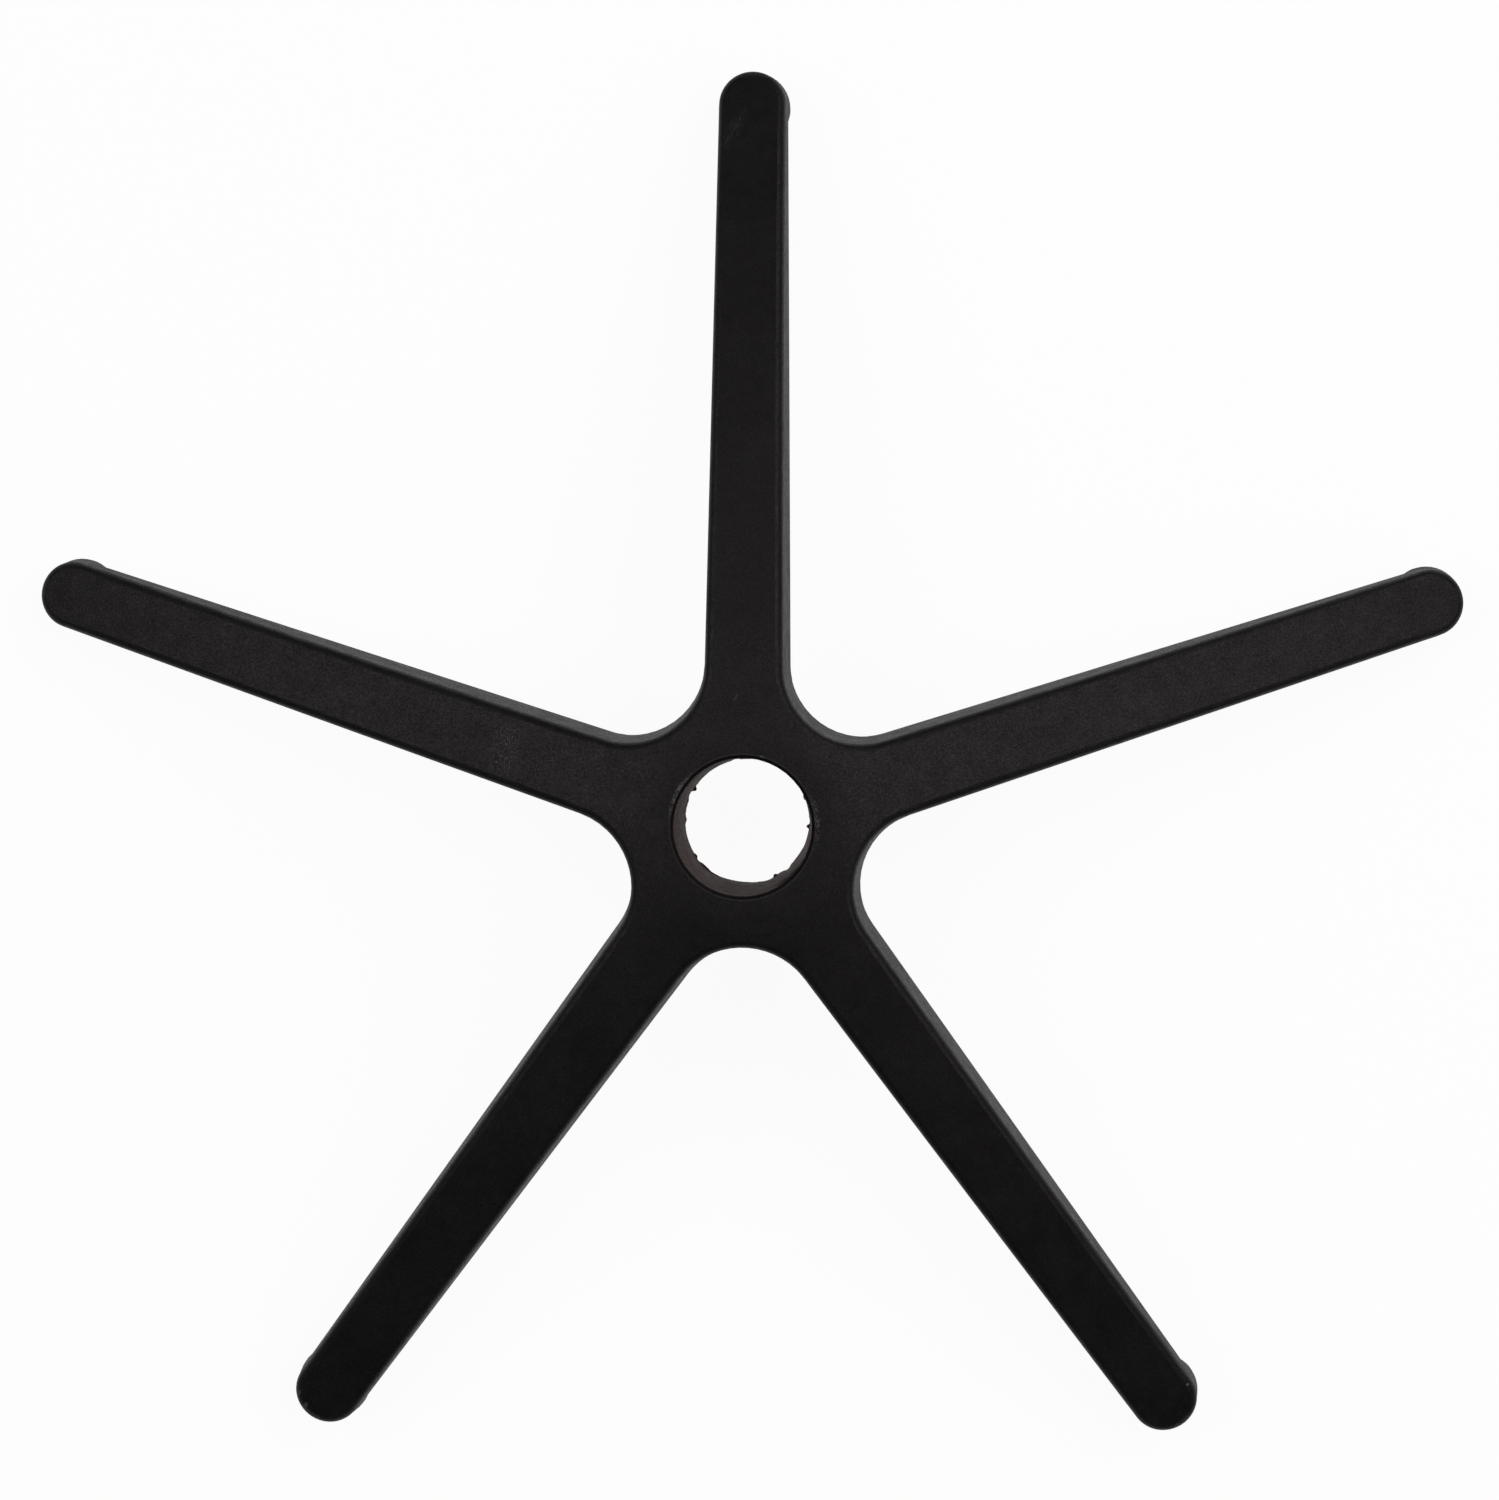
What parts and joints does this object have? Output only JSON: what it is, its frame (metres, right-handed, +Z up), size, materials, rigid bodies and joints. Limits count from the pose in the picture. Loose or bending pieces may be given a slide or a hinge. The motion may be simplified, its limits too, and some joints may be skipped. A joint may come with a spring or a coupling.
{
  "type": "office chair five star base",
  "caption": "Moulded star base for a swivel chair: arched arms with caster stem sockets in round feet and a tapered centre bore that seats a gas lift.",
  "frame": {"origin": "on the gas lift's axis, in the plane of the five caster seats", "axes": "+Z up along the gas lift's axis, +Y along the first arm, +X completes the right hand"},
  "size_m": [0.5288, 0.5042, 0.0897],
  "materials": {
    "star_base": "satin, fine spark texture"
  },
  "bodies": {
    "root": {"star_base": "star_base"}
  },
  "joints": []
}
